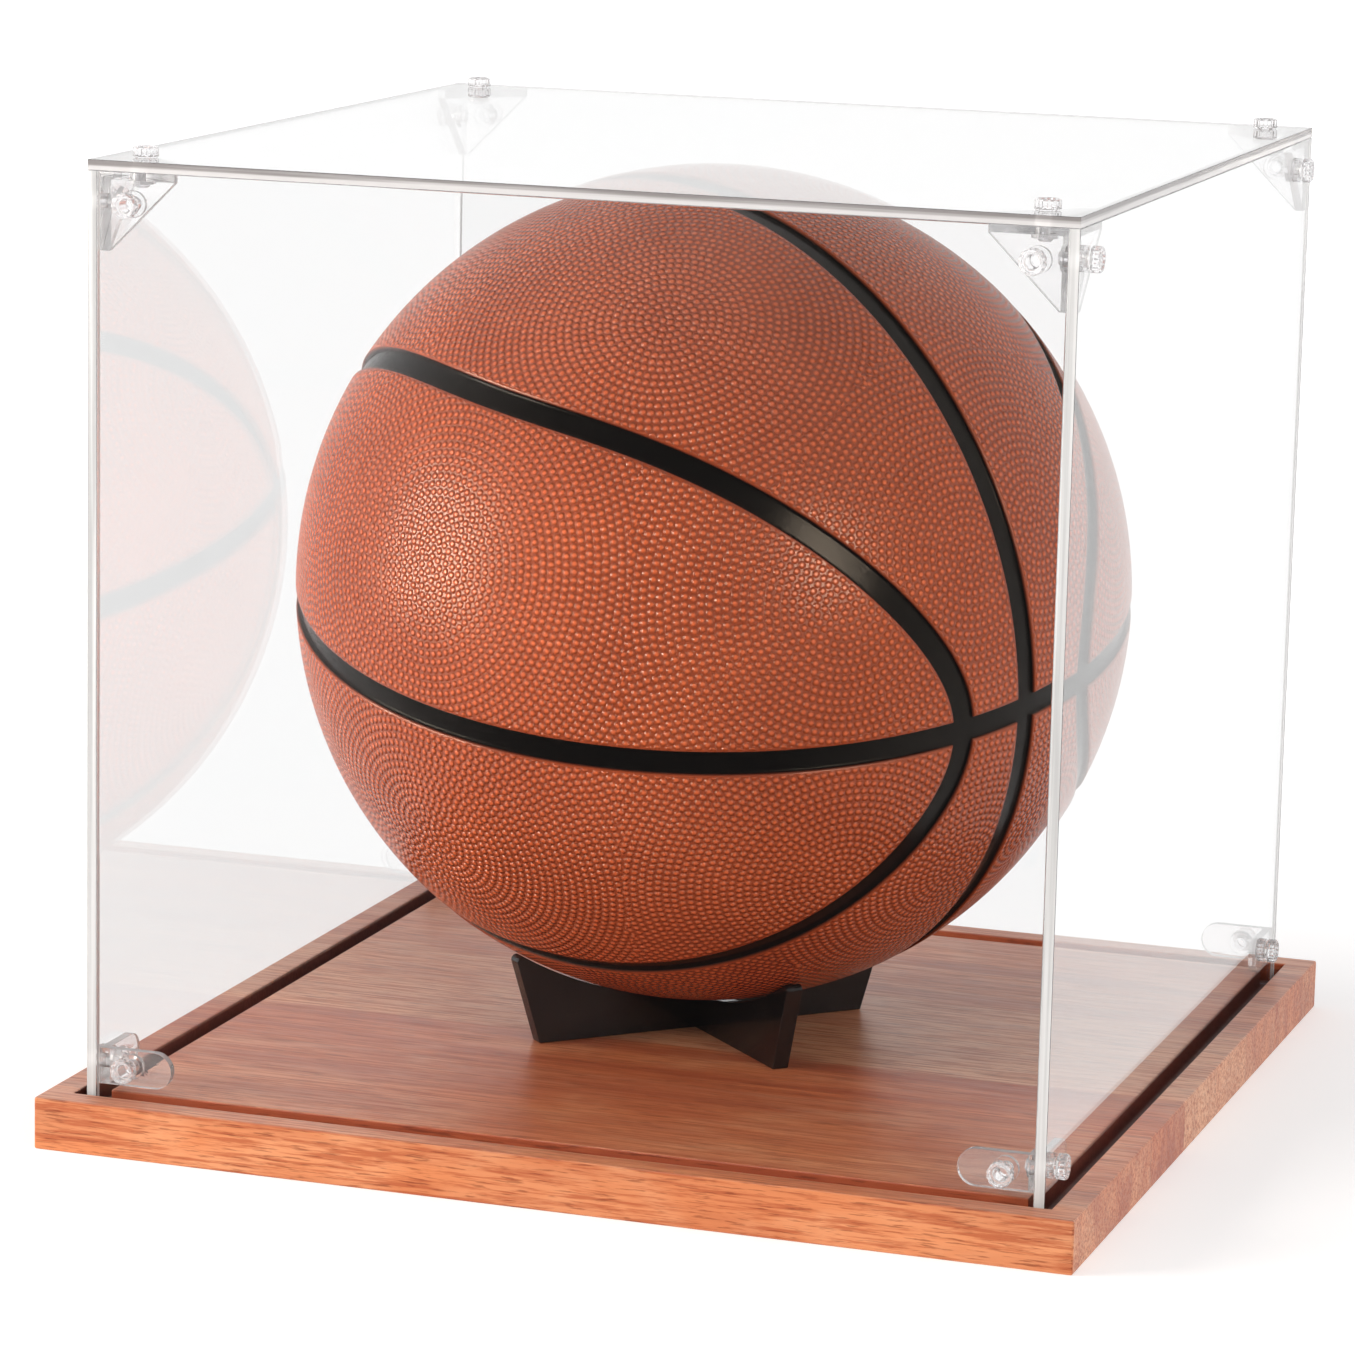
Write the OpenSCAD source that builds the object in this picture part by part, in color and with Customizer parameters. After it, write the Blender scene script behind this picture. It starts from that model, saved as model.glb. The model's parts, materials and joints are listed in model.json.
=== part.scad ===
// Ball display case: a wooden base with a routed groove, a lift-off cover of five
// clear panels held by corner brackets and thumbscrews, and a crossed stand that
// carries a ball.
// Millimetres. The origin is the centre of the base's underside, +Z is up and -Y
// is the front.

/* [Cover] */
// Outside width and depth of the cover
cover_side = 278; // [270:1:284]
// Height of the cover's top face above the table
cover_top = 277; // [275:1:300]
// Thickness of every clear panel
panel_t = 3; // [2:0.5:4]

/* [Base] */
// Width and depth of the wooden base
base_side = 300; // [296:1:320]
// Thickness of the wooden base
base_t = 15; // [12:1:20]
// Width of the routed groove that the cover stands in
groove_w = 8; // [6:0.5:9]
// Depth of the routed groove
groove_depth = 6; // [4:0.5:8]

/* [Brackets] */
// Length of a corner bracket's leg along each inside edge
bracket_leg = 22; // [20:0.5:26]
// Width of the cut-off tips of the upper brackets' triangular plates
bracket_tip = 2.5; // [1:0.5:4]
// Thickness of the brackets' plates
bracket_t = 2.5; // [2:0.5:3]
// Height of the lower brackets' strap
strap_h = 10.5; // [9:0.5:12]
// Diameter of the threaded boss around each bracket hole
boss_d = 7.2; // [6:0.2:8]
// Height of the boss above its plate
boss_h = 1.5; // [1:0.25:1.75]

/* [Thumbscrews] */
// Distance from the cover's outside edges to a screw's axis
screw_inset = 12; // [11:0.5:14]
// Height of the lower screws' axes above the top of the base
low_screw_rise = 7.5; // [6.5:0.5:12]
// Diameter of a screw's head
head_d = 7.2; // [6:0.2:9]
// Height of a screw's head
head_h = 3; // [2:0.5:6]
// Diameter of a screw's shank
shank_d = 4; // [3:0.5:4]
// Length of a screw's shank under its head
shank_len = 8; // [7.5:0.25:8.5]
// Radial clearance of a shank in its bracket boss
boss_clear = 0.05; // [0.02:0.01:0.1]
// Radial clearance of a shank in its panel hole
hole_clear = 0.3; // [0.2:0.05:0.5]

/* [Stand] */
// Thickness of the two crossed stand plates
stand_t = 5; // [3:0.5:6]
// Half the length of a stand plate's foot
stand_foot = 53; // [45:1:60]
// Outward lean of the stand's end edges from upright, in degrees
stand_flare = 17; // [5:1:25]
// Radius of the stand's rounded tips
stand_tip_r = 1.6; // [1:0.2:3]
// Side clearance of each plate in the other's half-lap slot
lap_clear = 0.05; // [0.02:0.01:0.2]
// How far the loose stand and its ball are set down to the left of centre
stand_left = 4; // [0:0.5:8]

/* [Ball] */
// Outside radius of the ball
ball_r = 120.5; // [115:0.5:122]
// Wall thickness of the hollow ball
ball_wall = 3; // [2:0.5:6]
// Height of the ball's lowest point above the base's top
ball_rise = 11.5; // [8:0.5:13]
// Gap between the ball's lowest point and the stand's concave edges
seat_gap = 1.1; // [1:0.1:1.5]
// How far the centre of the concave edges lies below the ball's centre
seat_drop = 7; // [0:0.5:7]

/* [Hidden] */
$fn = 64;
over = 1; // how far a cutting solid runs past the face it cuts
case_half = cover_side / 2;
case_inner = case_half - panel_t;
ceiling = cover_top - panel_t;
groove_floor = base_t - groove_depth;
groove_mid = case_half - panel_t / 2;
screw_off = case_half - screw_inset; // from the case's centre to a screw's axis
high_screw_z = cover_top - screw_inset;
low_screw_z = base_t + low_screw_rise;
hole_d = shank_d + 2 * hole_clear;
bore_d = shank_d + 2 * boss_clear;
boss_off = screw_inset - panel_t; // from a bracket's two mating faces to a boss
head_chamfer = 0.5;
ball_lift = ball_rise + ball_r; // ball centre above the base's top
seat_lift = ball_lift - seat_drop;
seat_r = ball_r + seat_gap - seat_drop;
lap_z = (ball_rise - seat_gap) / 2; // where the two half-lap slots meet
tip_bite = 0.1; // how far the round tips reach into the seat's circle

// The tip of a stand plate is an arc tangent to the leaning end, and the seat's circle
// trims it at a slight angle.
lean = [sin(stand_flare), cos(stand_flare)];
into_plate = [-lean.y, lean.x];
tip_start = [stand_foot, -seat_lift] + stand_tip_r * into_plate;
tip_along = -tip_start * lean
    - sqrt(pow(tip_start * lean, 2) - tip_start * tip_start
           + pow(seat_r + stand_tip_r - tip_bite, 2));
tip_mid = tip_start + tip_along * lean + [0, seat_lift];
tip_outer = tip_mid - stand_tip_r * into_plate;
to_seat = [0, seat_lift] - tip_mid;
tip_seat = tip_mid + stand_tip_r * to_seat / norm(to_seat);

SIDES = ["front", "right", "back", "left"]; // each a quarter turn on from the last
CORNERS = ["front_right", "back_right", "back_left", "front_left"];
LEVELS = ["lower", "upper"];

top_screws = [for (corner = CORNERS) str("thumbscrew_top_", corner)];
side_screws = [
    for (side = SIDES)
        for (level = LEVELS)
            for (end = screw_ends(side)) str("thumbscrew_", side, "_", level, "_", end)
];
upper_brackets = [for (corner = CORNERS) str("upper_bracket_", corner)];
lower_brackets = [for (corner = CORNERS) str("lower_bracket_", corner)];

NODES = concat(
    ["base_board", "panel_top", "panel_front", "panel_right", "panel_back", "panel_left"],
    upper_brackets,
    lower_brackets,
    top_screws,
    side_screws,
    ["stand_plate_a", "stand_plate_b", "ball"]
);
node = "all";

// The two ends of a side, named so that the first lies to the side's left when
// the side is looked at from outside.
function screw_ends(side) =
    side == "front" ? ["left", "right"] :
    side == "right" ? ["front", "back"] :
    side == "back" ? ["right", "left"] : ["back", "front"];

function shown(name) = node == "all" || node == name;

// Turns its children's X to Y, Y to Z and Z to X, the given number of times.
module cycle_axes(times) {
    if (times > 0)
        rotate([90, 0, 90]) cycle_axes(times - 1) children();
    else
        children();
}

// Places a shape made for the front, facing -Y, on the side with this index.
module on_side(index) {
    rotate([0, 0, 90 * index]) children();
}

// Places a shape made at the origin, reaching +X, +Y and +Z, in one inside corner
// of the cover, so that it reaches towards the middle of the case.
module in_corner(index) {
    rotate([0, 0, 90 * index])
        translate([case_inner, -case_inner, 0])
            mirror([1, 0, 0]) children();
}

module base_board() {
    color("peru")
        difference() {
            translate([-base_side / 2, -base_side / 2, 0])
                cube([base_side, base_side, base_t]);
            translate([0, 0, groove_floor])
                linear_extrude(groove_depth + over)
                    difference() {
                        square(2 * groove_mid + groove_w, center = true);
                        square(2 * groove_mid - groove_w, center = true);
                    }
        }
}

module panel_top() {
    color("whitesmoke", 0.3)
        difference() {
            translate([-case_half, -case_half, ceiling])
                cube([cover_side, cover_side, panel_t]);
            for (x = [-screw_off, screw_off], y = [-screw_off, screw_off])
                translate([x, y, ceiling - over])
                    cylinder(d = hole_d, h = panel_t + 2 * over);
        }
}

// An upright panel on the front, of the given width, with its four screw holes.
module upright_panel(width) {
    color("whitesmoke", 0.3)
        difference() {
            translate([-width / 2, -case_half, groove_floor])
                cube([width, panel_t, ceiling - groove_floor]);
            for (x = [-screw_off, screw_off], z = [low_screw_z, high_screw_z])
                translate([x, -case_half - over, z])
                    rotate([-90, 0, 0])
                        cylinder(d = hole_d, h = panel_t + 2 * over);
        }
}

// The left and right panels run the full depth. The front and back fit between.
module side_panel(index) {
    width = SIDES[index] == "front" || SIDES[index] == "back"
        ? 2 * case_inner : cover_side;
    on_side(index) upright_panel(width);
}

// Three triangular plates around one corner, each with a threaded boss.
module upper_bracket(index) {
    color("gainsboro", 0.4)
        translate([0, 0, ceiling])
            in_corner(index)
                mirror([0, 0, 1])
                    difference() {
                        for (axis = [0:2])
                            cycle_axes(axis) {
                                linear_extrude(bracket_t)
                                    polygon([
                                        [0, 0],
                                        [bracket_leg, 0],
                                        [bracket_leg, bracket_tip],
                                        [bracket_tip, bracket_leg],
                                        [0, bracket_leg]
                                    ]);
                                translate([boss_off, boss_off, 0])
                                    cylinder(d = boss_d, h = bracket_t + boss_h);
                            }
                        for (axis = [0:2])
                            cycle_axes(axis)
                                translate([boss_off, boss_off, -over])
                                    cylinder(d = bore_d, h = bracket_t + boss_h + 2 * over);
                    }
}

// One round-ended leg of a lower bracket, flat against the plane Y = 0, with its
// middle at Z = 0.
module strap_leg() {
    translate([0, bracket_t, 0])
        rotate([90, 0, 0])
            linear_extrude(bracket_t) {
                translate([0, -strap_h / 2])
                    square([bracket_leg - strap_h / 2, strap_h]);
                translate([bracket_leg - strap_h / 2, 0])
                    circle(d = strap_h);
            }
    translate([boss_off, 0, 0])
        rotate([-90, 0, 0])
            cylinder(d = boss_d, h = bracket_t + boss_h);
}

module strap_bore() {
    translate([boss_off, -over, 0])
        rotate([-90, 0, 0])
            cylinder(d = bore_d, h = bracket_t + boss_h + 2 * over);
}

module lower_bracket(index) {
    color("gainsboro", 0.4)
        translate([0, 0, low_screw_z])
            in_corner(index)
                difference() {
                    for (swap = [0, 1])
                        mirror([swap, -swap, 0]) strap_leg();
                    for (swap = [0, 1])
                        mirror([swap, -swap, 0]) strap_bore();
                }
}

// A thumbscrew with its head above Z = 0 and its shank below, about the Z axis.
module thumbscrew() {
    color("white", 0.6)
        rotate_extrude()
            polygon([
                [0, -shank_len],
                [shank_d / 2 - head_chamfer, -shank_len],
                [shank_d / 2, head_chamfer - shank_len],
                [shank_d / 2, 0],
                [head_d / 2 - head_chamfer, 0],
                [head_d / 2, head_chamfer],
                [head_d / 2, head_h - head_chamfer],
                [head_d / 2 - head_chamfer, head_h],
                [0, head_h]
            ]);
}

module top_screw(index) {
    rotate([0, 0, 90 * index])
        translate([screw_off, -screw_off, cover_top])
            thumbscrew();
}

module side_screw(side, level, end) {
    on_side(side)
        translate([(2 * end - 1) * screw_off, -case_half, level == 0 ? low_screw_z : high_screw_z])
            rotate([90, 0, 0])
                thumbscrew();
}

// The outline of a stand plate, with its foot on Y = 0.
module stand_outline() {
    difference() {
        union() {
            polygon([
                [stand_foot, 0],
                tip_outer,
                tip_mid,
                tip_seat,
                [-tip_seat.x, tip_seat.y],
                [-tip_mid.x, tip_mid.y],
                [-tip_outer.x, tip_outer.y],
                [-stand_foot, 0]
            ]);
            for (x = [-tip_mid.x, tip_mid.x])
                translate([x, tip_mid.y]) circle(r = stand_tip_r);
        }
        translate([0, seat_lift]) circle(r = seat_r, $fn = 180);
    }
}

// A stand plate turned about Z. Its half-lap slot opens upwards or downwards.
module stand_plate(turn, slot_low) {
    slot_w = stand_t + 2 * lap_clear;
    color([0.06, 0.06, 0.07])
        translate([-stand_left, 0, base_t])
            rotate([90, 0, turn])
                translate([0, 0, -stand_t / 2])
                    linear_extrude(stand_t)
                        difference() {
                            stand_outline();
                            translate([-slot_w / 2, slot_low])
                                square([slot_w, lap_z + over]);
                        }
}

module stand_plate_a() {
    stand_plate(45, lap_z);
}

module stand_plate_b() {
    stand_plate(-45, -over);
}

module ball() {
    color("chocolate")
        translate([-stand_left, 0, base_t + ball_lift])
            difference() {
                sphere(r = ball_r, $fn = 96);
                sphere(r = ball_r - ball_wall, $fn = 96);
            }
}

if (shown("base_board")) base_board();
if (shown("panel_top")) panel_top();
for (i = [0:3]) {
    if (shown(str("panel_", SIDES[i]))) side_panel(i);
    if (shown(upper_brackets[i])) upper_bracket(i);
    if (shown(lower_brackets[i])) lower_bracket(i);
    if (shown(top_screws[i])) top_screw(i);
    for (level = [0, 1], end = [0, 1])
        if (shown(side_screws[4 * i + 2 * level + end])) side_screw(i, level, end);
}
if (shown("stand_plate_a")) stand_plate_a();
if (shown("stand_plate_b")) stand_plate_b();
if (shown("ball")) ball();
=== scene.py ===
"""The looks of a ball display case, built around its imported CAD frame.

Metres, in the CAD frame's own axes: +Z is up and -Y is the front.
"""

import json
import math

import bmesh
import bpy
import numpy as np
from mathutils import Euler, Matrix, Vector


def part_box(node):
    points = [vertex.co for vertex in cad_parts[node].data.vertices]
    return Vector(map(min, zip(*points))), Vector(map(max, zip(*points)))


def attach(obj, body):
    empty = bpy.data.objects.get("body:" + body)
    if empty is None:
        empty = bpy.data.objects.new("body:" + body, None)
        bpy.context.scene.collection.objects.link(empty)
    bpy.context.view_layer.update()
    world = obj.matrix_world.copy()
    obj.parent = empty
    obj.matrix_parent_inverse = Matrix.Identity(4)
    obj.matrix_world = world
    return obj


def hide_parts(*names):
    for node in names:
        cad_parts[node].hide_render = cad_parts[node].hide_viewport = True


MM = 0.001

# Camera: where it looks, from where, and how much it takes in.
CAMERA_AZIMUTH = math.radians(18.6)
CAMERA_ELEVATION = math.radians(11.3)
CAMERA_ROLL = math.radians(1.3)
CAMERA_DISTANCE = 1.565
CAMERA_TARGET = Vector((-0.0135, 0.0, 0.1190))
CAMERA_LENS_MM = 141.5

# Ball: the turn of its seams, and its surface.
BALL_TURN = Euler(tuple(math.radians(a) for a in (100.3, 8.4, -23.4)))
SIDE_SEAM_NEAR = math.radians(11.4)  # the side seam's elevation by the poles
SIDE_SEAM_FAR = math.radians(46.0)  # and half-way between them
SIDE_SEAM_ROUNDING = 0.24  # how softly the side seam turns at the poles
# Where the pebble rings centre, in the ball's own X, |Y| and |Z|.
CAP_CENTRES = ((0.0, 0.34, 0.94), (0.83, 0.34, 0.45), (-0.83, 0.34, 0.45))
STRIP_CENTRES = ((0.25, 0.87, 0.42), (0.91, 0.39, 0.12), (-0.72, 0.62, 0.24))
CHANNEL_HALF = 3.3 * MM  # half a channel's width
CHANNEL_WALL = 0.9 * MM
CHANNEL_DEPTH = 1.3 * MM
SPLIT_REACHES = (3.4, 2.6, 1.9)  # the mesh is split this near a channel, in half widths
PEBBLE_PITCH = 2.25 * MM
PEBBLE_HEIGHT = 0.75 * MM
PEBBLE_STAGGER = 0.381  # how far each ring of pebbles is turned on from the last
RUBBER_IOR = 1.55
RUBBER_GLINT = (1.0, 0.84, 0.68, 1.0)  # the tint of the rubber's highlights

# Thumbscrews.
SHANK_RADIUS = 2.0 * MM
KNURLS = 12
KNURL_DEPTH = 0.42 * MM
KNURL_ROUNDNESS = 0.7
STEPS_PER_KNURL = 8
HEAD_HEIGHT = 3.0 * MM
HEAD_EDGE = 0.4 * MM
DISH_DEPTH = 0.5 * MM
HEAD_SHARP = math.radians(40)
HEAD_TURN = 2.4  # radians that each head is turned on from the last

# Wooden base.
STAVE_WIDTH = 39 * MM
STAVE_START = -143 * MM  # the front edge of the first whole stave
STAVE_TONES = (0.22, 0.30, 0.16, 0.0, 0.95, 0.75, 0.30, 0.12, 0.35)  # front to back, 1 is palest
STAVE_SHIFTS = (0.37, 1.93, 0.71)  # where each stave is cut from, on from the last
GROOVE_FLOOR_DROP = 0.4 * MM  # below the board's top by this much, a face is in the groove
GROOVE_OUTSIDE = 5 * MM  # the groove ends within this of the cover's outside
VARNISH_IOR = 1.5
# The grain's sizes: how many features a metre holds along, across and down.
MOTTLE_SCALE = (22, 45, 45)
BAND_SCALE = (5, 120, 60)
STREAK_SCALE = (40, 820, 820)
PORE_SCALE = (110, 1500, 1500)

# Acrylic, and the gap that keeps clear surfaces from lying exactly on each other.
ACRYLIC_IOR = 1.49
SKIN_GAP = 0.04 * MM
PASSED_LIGHT = (0.97, 0.97, 0.97, 1.0)  # what a clear surface lets through of lamp light

# Mesh from the CAD nodes: how it is welded, flattened and rounded.
WELD_REACH = 0.002 * MM
FLAT_ANGLE = math.radians(0.5)
SHARP_ANGLE = math.radians(35)
BEVEL_SEGMENTS = 2
BOARD_ROUNDING = 0.6 * MM
PANEL_ROUNDING = 0.25 * MM
SMALL_ROUNDING = 0.3 * MM

# Studio: how bright the surroundings are: seen, mirrored at the front and back, and as fill.
STUDIO_SEEN = 1.36
STUDIO_FRONT = 0.04
STUDIO_BACK = 1.3
STUDIO_FILL = 0.62
FRONT_ENDS = -0.55  # the Y of the directions where the dark front ends
BACK_STARTS = -0.05  # and where the bright back starts
KEY_TINT = (1.0, 0.95, 0.88)
LIGHTS_AIM = Vector((0, 0, 0.14))
FLOOR_SIDE = 12
FLOOR_GLOW = (0.15, 0.75, 0.36, 1.0)  # from and to these distances, from and to this glow

CORNERS = ("front_right", "back_right", "back_left", "front_left")
SIDES = ("front", "right", "back", "left")


def link(obj):
    bpy.context.scene.collection.objects.link(obj)
    return obj


# ---------------------------------------------------------------- node helpers


class Nodes:
    """A material's node tree, with short ways to add and join nodes."""

    def __init__(self, name):
        self.material = bpy.data.materials.new(name)
        self.material.use_nodes = True
        self.tree = self.material.node_tree
        self.tree.nodes.clear()
        self.output = self.tree.nodes.new("ShaderNodeOutputMaterial")

    def add(self, kind, **settings):
        node = self.tree.nodes.new(kind)
        for key, value in settings.items():
            setattr(node, key, value)
        return node

    def join(self, source, target):
        """Links a socket to an input, or sets the input if source is a plain value."""
        if isinstance(source, bpy.types.NodeSocket):
            self.tree.links.new(source, target)
        elif source is not None:
            target.default_value = source

    def math(self, operation, a, b=None):
        node = self.add("ShaderNodeMath", operation=operation)
        for value, socket in zip((a, b), node.inputs):
            self.join(value, socket)
        return node.outputs[0]

    def vector(self, operation, a, b=None):
        node = self.add("ShaderNodeVectorMath", operation=operation)
        for value, socket in zip((a, b), node.inputs):
            self.join(value, socket)
        return node.outputs["Value" if operation == "LENGTH" else "Vector"]

    def scaled(self, coords, scale):
        return self.vector("MULTIPLY", coords, scale)

    def split(self, vector):
        """A vector's parts, as outputs X, Y and Z."""
        node = self.add("ShaderNodeSeparateXYZ")
        self.join(vector, node.inputs[0])
        return node.outputs

    def noise(self, coords, detail=3.0, roughness=0.55, distortion=0.0):
        node = self.add("ShaderNodeTexNoise")
        self.join(coords, node.inputs["Vector"])
        node.inputs["Scale"].default_value = 1.0
        node.inputs["Detail"].default_value = detail
        node.inputs["Roughness"].default_value = roughness
        node.inputs["Distortion"].default_value = distortion
        return node.outputs["Fac"]

    def remap(self, value, low, high, to_low=0.0, to_high=1.0, smooth=True):
        """The value's way from low to high, as a way from to_low to to_high."""
        node = self.add("ShaderNodeMapRange")
        node.interpolation_type = "SMOOTHSTEP" if smooth else "LINEAR"
        keys = ("Value", "From Min", "From Max", "To Min", "To Max")
        for key, given in zip(keys, (value, low, high, to_low, to_high)):
            self.join(given, node.inputs[key])
        return node.outputs["Result"]

    def mix_color(self, factor, a, b):
        node = self.add("ShaderNodeMix", data_type="RGBA")
        for index, given in ((0, factor), (6, a), (7, b)):
            self.join(given, node.inputs[index])
        return node.outputs[2]

    def laid_over(self, color, share, mask, other):
        """The colour, with up to a share of the other where the mask is 1."""
        return self.mix_color(self.math("MULTIPLY", mask, share), color, other)

    def attribute(self, name, output):
        node = self.add("ShaderNodeAttribute", attribute_name=name)
        return node.outputs[output]

    def bump(self, height, distance, strength=1.0):
        node = self.add("ShaderNodeBump")
        node.inputs["Strength"].default_value = strength
        node.inputs["Distance"].default_value = distance
        self.join(height, node.inputs["Height"])
        return node.outputs["Normal"]

    def principled(self, color, roughness, normal=None, **others):
        """The shader. Any of its values may be linked or plain."""
        node = self.add("ShaderNodeBsdfPrincipled")
        self.join(color, node.inputs["Base Color"])
        self.join(roughness, node.inputs["Roughness"])
        self.join(normal, node.inputs["Normal"])
        for key, value in others.items():
            self.join(value, node.inputs[key.replace("_", " ")])
        return node.outputs[0]

    def finish(self, shader):
        self.tree.links.new(shader, self.output.inputs["Surface"])
        return self.material


def rgb(red, green, blue):
    """A linear colour with alpha from 0-255 screen values."""

    def linear(value):
        share = value / 255
        return share / 12.92 if share <= 0.04045 else ((share + 0.055) / 1.055) ** 2.4

    return (linear(red), linear(green), linear(blue), 1.0)


# ------------------------------------------------------------------- materials


def clear_material(name, tint, clearness=1.0):
    """Clear plastic that lets lamp light and bounced light straight through."""
    n = Nodes(name)
    glass = n.principled(tint, 0.0, IOR=ACRYLIC_IOR, Transmission_Weight=clearness)
    path = n.add("ShaderNodeLightPath")
    straight = n.math("MAXIMUM", path.outputs["Is Shadow Ray"], path.outputs["Is Diffuse Ray"])
    through = n.add("ShaderNodeBsdfTransparent")
    through.inputs["Color"].default_value = PASSED_LIGHT
    mix = n.add("ShaderNodeMixShader")
    n.join(straight, mix.inputs[0])
    n.join(glass, mix.inputs[1])
    n.join(through.outputs[0], mix.inputs[2])
    return n.finish(mix.outputs[0])


def edge_material(name, stretch, dark, light, transmission, painted_shade_heights=None):
    """Sawn and polished edges of clear sheet: pale, streaked along the edge, part frosted. The
    pale greys are partly painted reflection of the white surroundings.

    Given (low, high) as the last argument, painted shade darkens the edge upwards between those
    heights.
    """
    n = Nodes(name)
    coords = n.add("ShaderNodeTexCoord").outputs["Object"]
    streaks = n.noise(n.scaled(coords, stretch), detail=3, roughness=0.6)
    # painted shade: the edge grows darker towards its top
    if painted_shade_heights:
        painted_shade = n.remap(n.split(coords)["Z"], *painted_shade_heights, 0.22, -0.18)
        streaks = n.math("ADD", streaks, painted_shade)
    saw_marks = n.noise(n.scaled(coords, (900, 900, 900)), detail=2)
    color = n.mix_color(n.remap(streaks, 0.35, 0.65), dark, light)
    bump = n.bump(saw_marks, 0.02 * MM, 0.5)
    shader = n.principled(color, 0.25, bump, IOR=ACRYLIC_IOR, Transmission_Weight=transmission)
    return n.finish(shader)


def stand_material():
    """Gloss black acrylic with a trace of fine dust."""
    n = Nodes("black_acrylic")
    coords = n.add("ShaderNodeTexCoord").outputs["Object"]
    smudge = n.noise(n.scaled(coords, (60, 60, 60)), detail=4)
    dust = n.remap(n.noise(n.scaled(coords, (2600, 2600, 2600)), detail=1), 0.72, 0.78)
    color = n.mix_color(n.math("MULTIPLY", dust, 0.12), rgb(13, 10, 10), rgb(120, 110, 105))
    roughness = n.remap(smudge, 0.35, 0.75, 0.10, 0.2)
    return n.finish(n.principled(color, roughness, IOR=ACRYLIC_IOR))


def stave_tones(n, across):
    """How pale the wood is at a place counted in staves from the first whole one."""
    ramp = n.add("ShaderNodeValToRGB")
    ramp.color_ramp.interpolation = "CONSTANT"
    stops = ramp.color_ramp.elements
    while len(stops) < len(STAVE_TONES):
        stops.new(1.0)
    for index, tone in enumerate(STAVE_TONES):
        stops[index].position = index / len(STAVE_TONES)
        stops[index].color = (tone, tone, tone, 1.0)
    n.join(n.math("DIVIDE", n.math("ADD", across, 1.0), len(STAVE_TONES)), ramp.inputs[0])
    return ramp.outputs[0]


def wood_material(name, base, late, pore, pale, gloss):
    """Varnished hardwood, grain along X, glued up from staves side by side in Y."""
    n = Nodes(name)
    coords = n.add("ShaderNodeTexCoord").outputs["Object"]
    from_start = n.math("SUBTRACT", n.split(coords)["Y"], STAVE_START)
    across = n.math("DIVIDE", from_start, STAVE_WIDTH)
    shift = n.add("ShaderNodeCombineXYZ")
    for axis, step in zip("XYZ", STAVE_SHIFTS):
        n.join(n.math("MULTIPLY", n.math("FLOOR", across), step), shift.inputs[axis])
    place = n.vector("ADD", coords, shift.outputs[0])
    mottle = n.noise(n.scaled(place, MOTTLE_SCALE), detail=3, distortion=0.6)
    bands = n.noise(n.scaled(place, BAND_SCALE), detail=4, roughness=0.6, distortion=0.3)
    streaks = n.noise(n.scaled(place, STREAK_SCALE), detail=4, roughness=0.68)
    pores = n.noise(n.scaled(place, PORE_SCALE), detail=3)
    from_middle = n.math("ABSOLUTE", n.math("SUBTRACT", n.math("FRACT", across), 0.5))
    color = n.mix_color(n.remap(bands, 0.34, 0.66), base, late)
    color = n.laid_over(color, 0.62, stave_tones(n, across), pale)
    color = n.laid_over(color, 0.35, n.remap(mottle, 0.42, 0.72), pale)
    color = n.laid_over(color, 0.75, n.remap(streaks, 0.45, 0.62), late)
    color = n.laid_over(color, 0.55, n.remap(pores, 0.54, 0.66), pore)
    color = n.laid_over(color, 0.35, n.remap(from_middle, 0.4945, 0.4985), pore)
    grain = n.math("ADD", n.math("MULTIPLY", streaks, 0.5), n.math("MULTIPLY", pores, 0.5))
    normal = n.bump(grain, 0.06 * MM, 0.5)
    roughness = n.remap(streaks, 0.3, 0.7, gloss, gloss + 0.14)
    # the varnish shines more on the top than on the sides
    upward = n.split(n.add("ShaderNodeNewGeometry").outputs["Normal"])["Z"]
    shine = n.remap(upward, 0.2, 0.8, 0.2, 1.0)
    shader = n.principled(color, roughness, normal, IOR=VARNISH_IOR, Specular_IOR_Level=shine)
    return n.finish(shader)


def pebble_height(n):
    """How high the pebbled rubber stands, from 0 in the valleys to 1 on the pebbles.

    Rings of round pebbles lie about the middle of each panel of the ball. The mesh
    carries each point's place as a flat map about that middle.
    """
    place = n.attribute("panel_place", "Vector")
    flat = n.split(place)
    reach = n.math("DIVIDE", n.vector("LENGTH", place), PEBBLE_PITCH)
    ring = n.math("ADD", n.math("FLOOR", reach), 0.5)
    # pebbles in a ring: its length on the sphere over the pitch
    lean = n.math("MULTIPLY", ring, PEBBLE_PITCH / BALL_RADIUS)
    around = n.math("MULTIPLY", n.math("SINE", lean), 2 * math.pi * BALL_RADIUS / PEBBLE_PITCH)
    count = n.math("MAXIMUM", n.math("ROUND", around), 1.0)
    turn = n.math("DIVIDE", n.math("ARCTAN2", flat["Y"], flat["X"]), 2 * math.pi)
    turn = n.math("ADD", turn, n.math("MULTIPLY", ring, PEBBLE_STAGGER))
    across = n.math("SUBTRACT", n.math("FRACT", n.math("MULTIPLY", turn, count)), 0.5)
    out = n.math("SUBTRACT", n.math("FRACT", reach), 0.5)
    squares = n.math("ADD", n.math("MULTIPLY", across, across), n.math("MULTIPLY", out, out))
    return n.remap(n.math("SQRT", squares), 0.16, 0.52, 1.0, 0.0)


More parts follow.
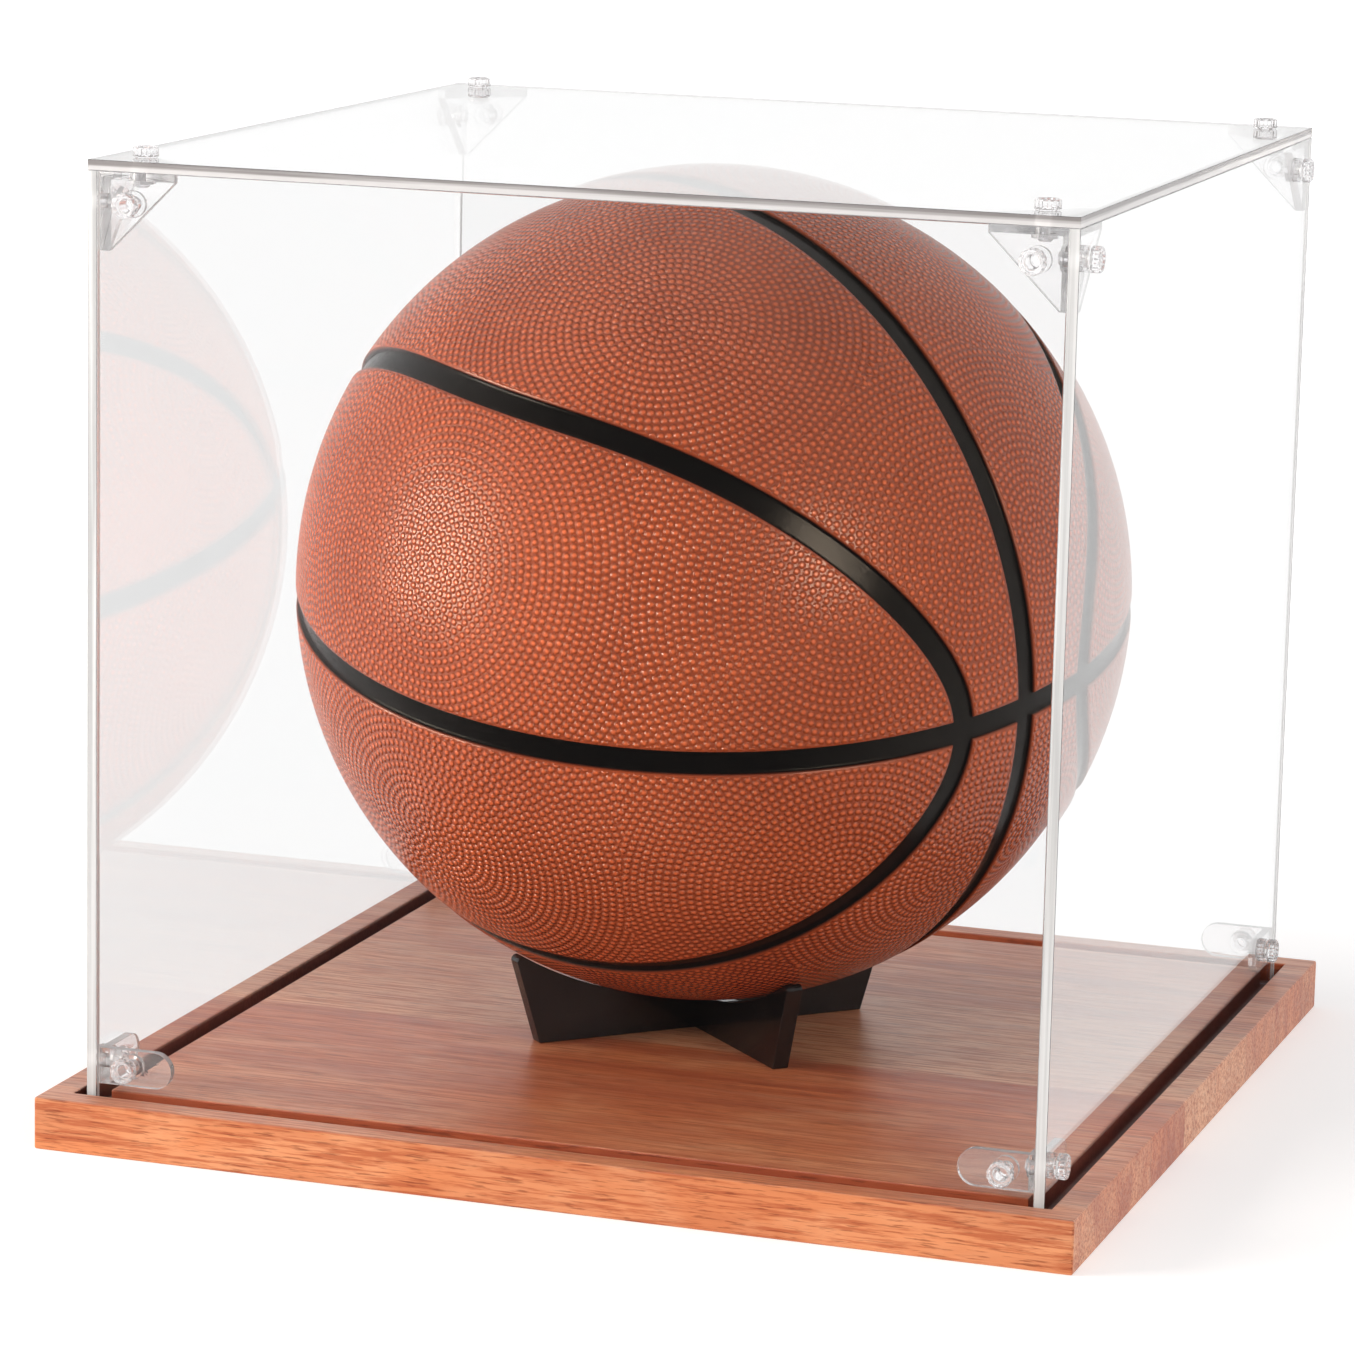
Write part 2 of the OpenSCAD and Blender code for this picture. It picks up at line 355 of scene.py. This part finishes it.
def ball_material():
    """Pebbled orange-brown rubber with glossy black channels."""
    n = Nodes("ball_rubber")
    coords = n.add("ShaderNodeTexCoord").outputs["Object"]
    gap = n.attribute("seam_gap", "Fac")
    rubber = n.remap(gap, CHANNEL_HALF - 0.1 * MM, CHANNEL_HALF + 0.5 * MM)
    pebbled = n.remap(gap, CHANNEL_HALF + 0.5 * MM, CHANNEL_HALF + 1.4 * MM)
    height = n.math("MULTIPLY", pebble_height(n), pebbled)
    wear = n.noise(n.scaled(coords, (26, 26, 26)), detail=4)
    # painted shade: the valleys between pebbles are coloured darker than the pebble tops
    pebble_gap_shade = n.mix_color(n.remap(wear, 0.3, 0.7), rgb(122, 48, 22), rgb(134, 55, 26))
    top = n.mix_color(n.remap(wear, 0.3, 0.7), rgb(180, 80, 41), rgb(190, 87, 46))
    orange = n.mix_color(height, pebble_gap_shade, top)
    color = n.mix_color(rubber, rgb(9, 8, 8), orange)
    creases = n.noise(n.scaled(coords, (420, 420, 420)), detail=3)
    roughness = n.remap(rubber, 0, 1, 0.22, 0.27, False)
    pebbles = n.math("MULTIPLY", height, PEBBLE_HEIGHT / MM)
    skin = n.math("ADD", pebbles, n.math("MULTIPLY", creases, 0.05))
    shine = n.remap(rubber, 0, 1, 0.15, 0.5, False)
    shader = n.principled(
        color,
        roughness,
        n.bump(skin, 1.0 * MM),
        IOR=RUBBER_IOR,
        Specular_Tint=RUBBER_GLINT,
        Specular_IOR_Level=shine,
    )
    return n.finish(shader)


def floor_material():
    """White paper that shades a little beside the case and glows evenly further off."""
    n = Nodes("pale_floor")
    coords = n.add("ShaderNodeTexCoord").outputs["Object"]
    paper = n.add("ShaderNodeBsdfDiffuse")
    paper.inputs["Color"].default_value = rgb(226, 226, 228)
    glow = n.add("ShaderNodeEmission")
    n.join(n.remap(n.vector("LENGTH", coords), *FLOOR_GLOW), glow.inputs["Strength"])
    both = n.add("ShaderNodeAddShader")
    n.join(paper.outputs[0], both.inputs[0])
    n.join(glow.outputs[0], both.inputs[1])
    return n.finish(both.outputs[0])


# ------------------------------------------------------------- mesh from nodes


def refined(node, name, bevel, gap=0.0):
    """A copy of a CAD node's mesh, welded, with rounded edges, drawn in by gap."""
    mesh = frame["nodes"][node].data.copy()
    mesh.name = name
    mesh.materials.clear()
    low, high = (Vector(corner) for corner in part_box(node))
    middle = (low + high) / 2
    scale = [1 - 2 * gap / side for side in (high - low)]
    bm = bmesh.new()
    bm.from_mesh(mesh)
    bmesh.ops.remove_doubles(bm, verts=bm.verts, dist=WELD_REACH)
    bmesh.ops.dissolve_limit(bm, angle_limit=FLAT_ANGLE, verts=bm.verts, edges=bm.edges)
    shrink = Matrix.Diagonal((*scale, 1))
    bm.transform(Matrix.Translation(middle) @ shrink @ Matrix.Translation(-middle))
    bm.to_mesh(mesh)
    bm.free()
    piece = link(bpy.data.objects.new(name, mesh))
    rounding = piece.modifiers.new("rounded_edges", "BEVEL")
    rounding.width = bevel
    rounding.segments = BEVEL_SEGMENTS
    rounding.limit_method = "ANGLE"
    rounding.angle_limit = SHARP_ANGLE
    rounding.harden_normals = True
    for face in mesh.polygons:
        face.use_smooth = True
    mesh.set_sharp_from_angle(angle=SHARP_ANGLE)
    return piece


def stand_for(piece, node, body):
    """Puts the piece on its body in place of its CAD node."""
    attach(piece, body)
    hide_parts(node)


# ---------------------------------------------------------------------- pieces


def make_base(wood, groove, groove_wall_shade):
    """The board, with painted shade on the faces of its groove: dark on its floor and the walls
    facing X, milder on the walls facing Y.
    """
    piece = refined("base_board", "wood_base", BOARD_ROUNDING)
    for material in (wood, groove, groove_wall_shade):
        piece.data.materials.append(material)
    low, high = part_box("base_board")
    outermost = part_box("panel_right")[1][0] + GROOVE_OUTSIDE
    for face in piece.data.polygons:
        reach = max(abs(face.center.x), abs(face.center.y))
        below = face.center.z < high[2] - GROOVE_FLOOR_DROP
        if below and face.center.z > low[2] + GROOVE_FLOOR_DROP and reach < outermost:
            # painted shade: groove faces get the dark wood, walls facing Y a milder shade
            face.material_index = 2 if abs(face.normal.y) > 0.5 else 1
    stand_for(piece, "base_board", "base")


def mark_edges(mesh, is_edge):
    """Gives the second material to the faces that is_edge picks."""
    for face in mesh.polygons:
        if is_edge(face.normal):
            face.material_index = 1


def make_panels(clear, upright_edge, top_sheet_edge_shade):
    """The cover's five clear sheets, with paler material on their edges: part frosting, part
    painted reflection, with painted shade on the top sheet's edges.
    """
    for node in ("panel_top", *(f"panel_{side}" for side in SIDES)):
        piece = refined(node, node.replace("panel", "clear_panel"), PANEL_ROUNDING, gap=SKIN_GAP)
        piece.data.materials.append(clear)
        piece.data.materials.append(top_sheet_edge_shade if node == "panel_top" else upright_edge)
        low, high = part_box(node)
        sizes = [high[i] - low[i] for i in range(3)]
        thin = sizes.index(min(sizes))
        mark_edges(piece.data, lambda normal, thin=thin: abs(normal[thin]) < 0.9)
        stand_for(piece, node, "cover")


def make_brackets(clear, edge):
    """The corner brackets. Faces that aren't square to an axis count as edges."""
    for corner in CORNERS:
        for level in ("upper", "lower"):
            node = f"{level}_bracket_{corner}"
            piece = refined(node, f"clear_{node}", SMALL_ROUNDING, gap=SKIN_GAP)
            piece.data.materials.append(clear)
            piece.data.materials.append(edge)
            square = 0.97 if level == "upper" else 0.9
            is_strap = level == "lower"
            mark_edges(
                piece.data,
                lambda normal, square=square, is_strap=is_strap: max(map(abs, normal)) < square
                or (is_strap and abs(normal.z) > square),
            )
            stand_for(piece, node, "cover")


def make_stand(black):
    """The two crossed plates."""
    for half in ("a", "b"):
        node = f"stand_plate_{half}"
        piece = refined(node, f"gloss_{node}", SMALL_ROUNDING)
        piece.data.materials.append(black)
        stand_for(piece, node, "stand")


def screw_mesh(head_radius, shank_radius, shank_length):
    """A knurled thumbscrew along Z, its head above Z = 0 and its shank below."""
    rings = (  # (radius, height, how much of the knurling shows)
        (0.0, -shank_length, 0),
        (shank_radius - HEAD_EDGE, -shank_length, 0),
        (shank_radius, HEAD_EDGE - shank_length, 0),
        (shank_radius, 0.02 * MM, 0),
        (head_radius - HEAD_EDGE, 0.02 * MM, 0),
        (head_radius, HEAD_EDGE, 0.4),
        (head_radius, 2 * HEAD_EDGE, 1),
        (head_radius, HEAD_HEIGHT - 2 * HEAD_EDGE, 1),
        (head_radius, HEAD_HEIGHT - HEAD_EDGE, 0.6),
        (head_radius - HEAD_EDGE, HEAD_HEIGHT, 0),
        (head_radius - 2.2 * HEAD_EDGE, HEAD_HEIGHT, 0),
        (head_radius - 3.4 * HEAD_EDGE, HEAD_HEIGHT - DISH_DEPTH, 0),
        (0.0, HEAD_HEIGHT - DISH_DEPTH, 0),
    )
    steps = KNURLS * STEPS_PER_KNURL
    bm = bmesh.new()
    loops = []
    for radius, height, knurl in rings:
        if radius == 0.0:
            loops.append([bm.verts.new((0, 0, height))])
            continue
        loop = []
        for step in range(steps):
            angle = 2 * math.pi * step / steps
            ridge = abs(math.sin(angle * KNURLS / 2)) ** KNURL_ROUNDNESS
            r = radius - knurl * KNURL_DEPTH * (1 - ridge)
            loop.append(bm.verts.new((r * math.cos(angle), r * math.sin(angle), height)))
        loops.append(loop)
    for lower, upper in zip(loops, loops[1:]):
        for i in range(steps):
            j = (i + 1) % steps
            if len(lower) == 1:
                bm.faces.new((lower[0], upper[j], upper[i]))
            elif len(upper) == 1:
                bm.faces.new((lower[i], lower[j], upper[0]))
            else:
                bm.faces.new((lower[i], lower[j], upper[j], upper[i]))
    mesh = bpy.data.meshes.new("thumbscrew")
    bm.to_mesh(mesh)
    bm.free()
    for face in mesh.polygons:
        face.use_smooth = True
    mesh.set_sharp_from_angle(angle=HEAD_SHARP)
    return mesh


def head_end(low, high, axis):
    """The middle of the face of a box that a screw's axis points out of."""
    middle = (low + high) / 2
    return Vector(
        [h if a > 0.5 else l if a < -0.5 else m for l, m, h, a in zip(low, middle, high, axis)]
    )


def make_screws(clear):
    """A knurled screw on each thumbscrew's own body."""
    joints = {joint["child"]: joint for joint in frame["joints"]}
    nodes = [node for node in frame["nodes"] if node.startswith("thumbscrew_")]
    for index, node in enumerate(sorted(nodes)):
        low, high = (Vector(corner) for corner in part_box(node))
        axis = Vector(joints[node]["axis"])
        head_radius = min(high - low) / 2
        along = max(high - low)
        mesh = screw_mesh(head_radius, SHANK_RADIUS, along - HEAD_HEIGHT)
        turn = axis.to_track_quat("Z", "Y") @ Euler((0, 0, index * HEAD_TURN)).to_quaternion()
        seat = head_end(low, high, axis) - axis * HEAD_HEIGHT
        mesh.transform(Matrix.Translation(seat) @ turn.to_matrix().to_4x4())
        piece = link(bpy.data.objects.new(f"clear_{node}", mesh))
        piece.data.materials.append(clear)
        stand_for(piece, node, node)


# ------------------------------------------------------------------------ ball


def side_seam(turn):
    """The elevation of the side seams at a turn about the ball's own Z axis."""
    swing = np.sqrt(np.sin(turn) ** 2 + SIDE_SEAM_ROUNDING**2) - SIDE_SEAM_ROUNDING
    full = math.sqrt(1 + SIDE_SEAM_ROUNDING**2) - SIDE_SEAM_ROUNDING
    return SIDE_SEAM_NEAR + (SIDE_SEAM_FAR - SIDE_SEAM_NEAR) * swing / full


def seam_gaps(unit):
    """Each point's distance to the nearest channel's middle line."""
    x, y, z = unit.T
    turn = np.arctan2(y, x)
    rise = np.arcsin(np.clip(np.abs(z), 0, 1))
    step = 1e-4
    slope = (side_seam(turn + step) - side_seam(turn - step)) / (2 * step)
    steepness = np.sqrt(1 + (slope / np.maximum(np.cos(rise), 0.2)) ** 2)
    to_side = np.abs(rise - side_seam(turn)) / steepness
    to_great = np.minimum(np.arcsin(np.clip(np.abs(y), 0, 1)), rise)
    return BALL_RADIUS * np.minimum(to_side, to_great)


def ring_centres(middles):
    """For each face's middle, the centre of the pebble rings that it belongs to."""
    x, y, z = middles.T
    cap = np.arcsin(np.clip(np.abs(z), 0, 1)) > side_seam(np.arctan2(y, x))
    chosen = np.zeros_like(middles)
    for inside, centres in ((cap, CAP_CENTRES), (~cap, STRIP_CENTRES)):
        centres = np.array(centres)
        centres /= np.linalg.norm(centres, axis=1, keepdims=True)
        folded = np.stack((x, np.abs(y), np.abs(z)), 1)[inside]
        chosen[inside] = centres[np.argmax(folded @ centres.T, axis=1)]
    chosen[:, 1] *= np.where(y < 0, -1, 1)
    chosen[:, 2] *= np.where(z < 0, -1, 1)
    return chosen


def flat_places(unit, centres):
    """Each point's place on a flat map about its ring centre, as x, y, 0."""
    sideways = np.cross(centres, (0.0, 0.0, 1.0))
    sideways /= np.linalg.norm(sideways, axis=1, keepdims=True)
    upward = np.cross(centres, sideways)
    reach = BALL_RADIUS * np.arccos(np.clip((unit * centres).sum(1), -1, 1))
    across, up = (unit * sideways).sum(1), (unit * upward).sum(1)
    spread = np.maximum(np.hypot(across, up), 1e-9)
    return np.stack((reach * across / spread, reach * up / spread, np.zeros_like(up)), 1)


def face_corners(mesh, unit):
    """The flat-map place of every corner of every face."""
    corners = np.empty(len(mesh.loops), dtype=int)
    mesh.loops.foreach_get("vertex_index", corners)
    triangles = unit[corners].reshape(-1, 3, 3)
    middles = triangles.mean(axis=1)
    middles /= np.linalg.norm(middles, axis=1, keepdims=True)
    centres = np.repeat(ring_centres(middles), 3, axis=0)
    return flat_places(unit[corners], centres)


def unit_rows(bm):
    """The vertices' places, one a row, moved onto the unit sphere."""
    rows = np.array([vert.co for vert in bm.verts])
    return rows / np.linalg.norm(rows, axis=1, keepdims=True)


def split_near(bm, near, far):
    """Splits the edges whose middles lie between two distances from a channel's middle line."""
    edges = list(bm.edges)
    middles = np.array([(e.verts[0].co + e.verts[1].co) / 2 for e in edges])
    middles /= np.linalg.norm(middles, axis=1, keepdims=True)
    gaps = seam_gaps(middles)
    chosen = [edge for edge, gap in zip(edges, gaps) if near <= gap <= far]
    bmesh.ops.subdivide_edges(bm, edges=chosen, cuts=1, use_grid_fill=True)
    bmesh.ops.triangulate(bm, faces=bm.faces)
    for vert, row in zip(bm.verts, unit_rows(bm)):
        vert.co = row


def make_ball(rubber):
    """The ball: a sphere with its channels pressed in.

    The mesh is finest at the channels. Each point carries its distance to the nearest
    one, and each face corner its place on the flat map that the pebbles are laid on.
    """
    low, high = (Vector(corner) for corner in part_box("ball"))
    bm = bmesh.new()
    bmesh.ops.create_icosphere(bm, subdivisions=6, radius=1.0)
    for reach in SPLIT_REACHES:
        split_near(bm, 0, CHANNEL_HALF * reach)
    split_near(bm, CHANNEL_HALF - CHANNEL_WALL, CHANNEL_HALF + CHANNEL_WALL)
    mesh = bpy.data.meshes.new("ball")
    unit = unit_rows(bm)
    gaps = seam_gaps(unit)
    wall = np.clip((gaps - CHANNEL_HALF + CHANNEL_WALL / 2) / CHANNEL_WALL, 0, 1)
    press = CHANNEL_DEPTH * (1 - wall**2 * (3 - 2 * wall))
    for vert, row, depth in zip(bm.verts, unit, press):
        vert.co = row * (BALL_RADIUS - depth)
    bm.to_mesh(mesh)
    bm.free()
    mesh.attributes.new("seam_gap", "FLOAT", "POINT").data.foreach_set("value", gaps)
    places = mesh.attributes.new("panel_place", "FLOAT_VECTOR", "CORNER")
    places.data.foreach_set("vector", face_corners(mesh, unit).ravel())
    for face in mesh.polygons:
        face.use_smooth = True
    mesh.transform(Matrix.Translation((low + high) / 2) @ BALL_TURN.to_matrix().to_4x4())
    piece = link(bpy.data.objects.new("pebbled_ball", mesh))
    piece.data.materials.append(rubber)
    stand_for(piece, "ball", "ball")


# ----------------------------------------------------------------------- stage


def make_floor():
    """A pale floor that mirrors and clear panels don't show."""
    bpy.ops.mesh.primitive_plane_add(size=FLOOR_SIDE, location=(0, 0, 0))
    floor = bpy.context.object
    floor.name = "floor"
    floor.data.materials.append(floor_material())
    floor.visible_glossy = False
    floor.visible_transmission = False


def make_world():
    """A white studio to look at, with a dark front for reflections and white behind."""
    world = bpy.data.worlds.new("studio")
    bpy.context.scene.world = world
    world.use_nodes = True
    tree = world.node_tree
    tree.nodes.clear()

    path = tree.nodes.new("ShaderNodeLightPath")
    coords = tree.nodes.new("ShaderNodeTexCoord")
    split = tree.nodes.new("ShaderNodeSeparateXYZ")
    tree.links.new(coords.outputs["Generated"], split.inputs[0])
    backdrop = tree.nodes.new("ShaderNodeMapRange")
    tree.links.new(split.outputs["Y"], backdrop.inputs["Value"])
    for key, value in (
        ("From Min", FRONT_ENDS),
        ("From Max", BACK_STARTS),
        ("To Min", STUDIO_FRONT),
        ("To Max", STUDIO_BACK),
    ):
        backdrop.inputs[key].default_value = value
    mirrored = tree.nodes.new("ShaderNodeMix")
    mirrored.inputs["A"].default_value = STUDIO_SEEN
    tree.links.new(path.outputs["Glossy Depth"], mirrored.inputs["Factor"])
    tree.links.new(backdrop.outputs[0], mirrored.inputs["B"])
    bounced = tree.nodes.new("ShaderNodeMix")
    bounced.inputs["B"].default_value = STUDIO_FILL
    tree.links.new(path.outputs["Diffuse Depth"], bounced.inputs["Factor"])
    tree.links.new(mirrored.outputs[0], bounced.inputs["A"])
    background = tree.nodes.new("ShaderNodeBackground")
    tree.links.new(bounced.outputs[0], background.inputs["Strength"])
    output = tree.nodes.new("ShaderNodeOutputWorld")
    tree.links.new(background.outputs[0], output.inputs["Surface"])


def make_light(name, place, size, power):
    """A soft rectangular light aimed at the middle of the case."""
    lamp = bpy.data.lights.new(name, "AREA")
    lamp.shape = "RECTANGLE"
    lamp.size, lamp.size_y = size
    lamp.energy = power
    lamp.color = KEY_TINT
    lamp.cycles.use_multiple_importance_sampling = False  # so clear panels don't mirror it
    light = link(bpy.data.objects.new(name, lamp))
    light.location = place
    aim = LIGHTS_AIM - Vector(place)
    light.rotation_euler = aim.to_track_quat("-Z", "Y").to_euler()


def make_lights():
    make_light("key_left", (-1.38, -0.78, 0.26), (0.9, 1.1), 51)
    make_light("fill_right", (1.15, -0.96, 0.60), (0.5, 0.6), 12)


def make_camera():
    """The camera, a little above the case and to its front right."""
    flat = math.cos(CAMERA_ELEVATION)
    back = Vector((
        math.sin(CAMERA_AZIMUTH) * flat,
        -math.cos(CAMERA_AZIMUTH) * flat,
        math.sin(CAMERA_ELEVATION),
    ))
    data = bpy.data.cameras.new("camera")
    data.lens = CAMERA_LENS_MM
    camera = link(bpy.data.objects.new("camera", data))
    level = (-back).to_track_quat("-Z", "Y")
    roll = Euler((0, 0, CAMERA_ROLL)).to_quaternion()
    camera.rotation_mode = "QUATERNION"
    camera.rotation_quaternion = level @ roll
    camera.location = CAMERA_TARGET + back * CAMERA_DISTANCE
    bpy.context.scene.camera = camera


def set_look():
    """How colours are shown, and enough bounces to see through the whole case."""
    scene = bpy.context.scene
    scene.view_settings.view_transform = "Standard"
    scene.cycles.use_denoising = True
    scene.cycles.max_bounces = 24
    scene.cycles.transmission_bounces = 20
    scene.cycles.transparent_max_bounces = 24
    scene.cycles.caustics_reflective = False


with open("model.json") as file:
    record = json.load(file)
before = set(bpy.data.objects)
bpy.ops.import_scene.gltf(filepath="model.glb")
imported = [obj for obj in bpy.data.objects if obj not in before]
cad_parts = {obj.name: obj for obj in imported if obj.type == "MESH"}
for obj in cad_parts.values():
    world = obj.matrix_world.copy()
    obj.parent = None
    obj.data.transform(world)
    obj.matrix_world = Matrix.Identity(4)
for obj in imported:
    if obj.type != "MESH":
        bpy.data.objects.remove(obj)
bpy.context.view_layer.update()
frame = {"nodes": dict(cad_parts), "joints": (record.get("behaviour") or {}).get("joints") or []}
BALL_RADIUS = (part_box("ball")[1][0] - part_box("ball")[0][0]) / 2

make_camera()
set_look()
make_world()
make_lights()
make_floor()

panel_clear = clear_material("clear_panel", rgb(254, 254, 254))
bracket_clear = clear_material("clear_bracket", rgb(252, 252, 253), 0.93)
screw_clear = clear_material("clear_screw", rgb(250, 250, 252), 0.88)
wood = wood_material(
    "wood",
    base=rgb(192, 112, 68),
    late=rgb(156, 76, 44),
    pore=rgb(98, 38, 20),
    pale=rgb(218, 166, 126),
    gloss=0.32,
)
# darker copies of the wood, painted shade for inside the groove
groove_shade_wood = wood_material(
    "groove_shade_wood",
    base=rgb(80, 32, 21),
    late=rgb(66, 25, 17),
    pore=rgb(38, 14, 10),
    pale=rgb(88, 38, 26),
    gloss=0.5,
)
groove_wall_shade = wood_material(
    "groove_wall_shade",
    base=rgb(168, 82, 50),
    late=rgb(140, 62, 38),
    pore=rgb(84, 34, 20),
    pale=rgb(176, 92, 60),
    gloss=0.5,
)

make_base(wood, groove_shade_wood, groove_wall_shade)

# edge greys: part frosting, part painted reflection of the white studio
upright_edge = edge_material(
    "upright_edge",
    stretch=(420, 420, 7),
    dark=rgb(178, 178, 179),
    light=rgb(212, 212, 213),
    transmission=0.2,
)
top_low, top_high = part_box("panel_top")
# the top sheet's edges: darker greys than the upright edges, painted shade that deepens upwards
top_sheet_edge_shade = edge_material(
    "top_sheet_edge_shade",
    stretch=(5, 5, 420),
    dark=rgb(134, 130, 130),
    light=rgb(206, 204, 205),
    transmission=0.3,
    painted_shade_heights=(top_low[2], top_high[2]),
)
bracket_edge = edge_material(
    "bracket_edge",
    stretch=(60, 60, 60),
    dark=rgb(150, 150, 152),
    light=rgb(196, 196, 198),
    transmission=0.4,
)
make_panels(panel_clear, upright_edge, top_sheet_edge_shade)
make_brackets(bracket_clear, bracket_edge)
make_screws(screw_clear)
make_stand(stand_material())
make_ball(ball_material())
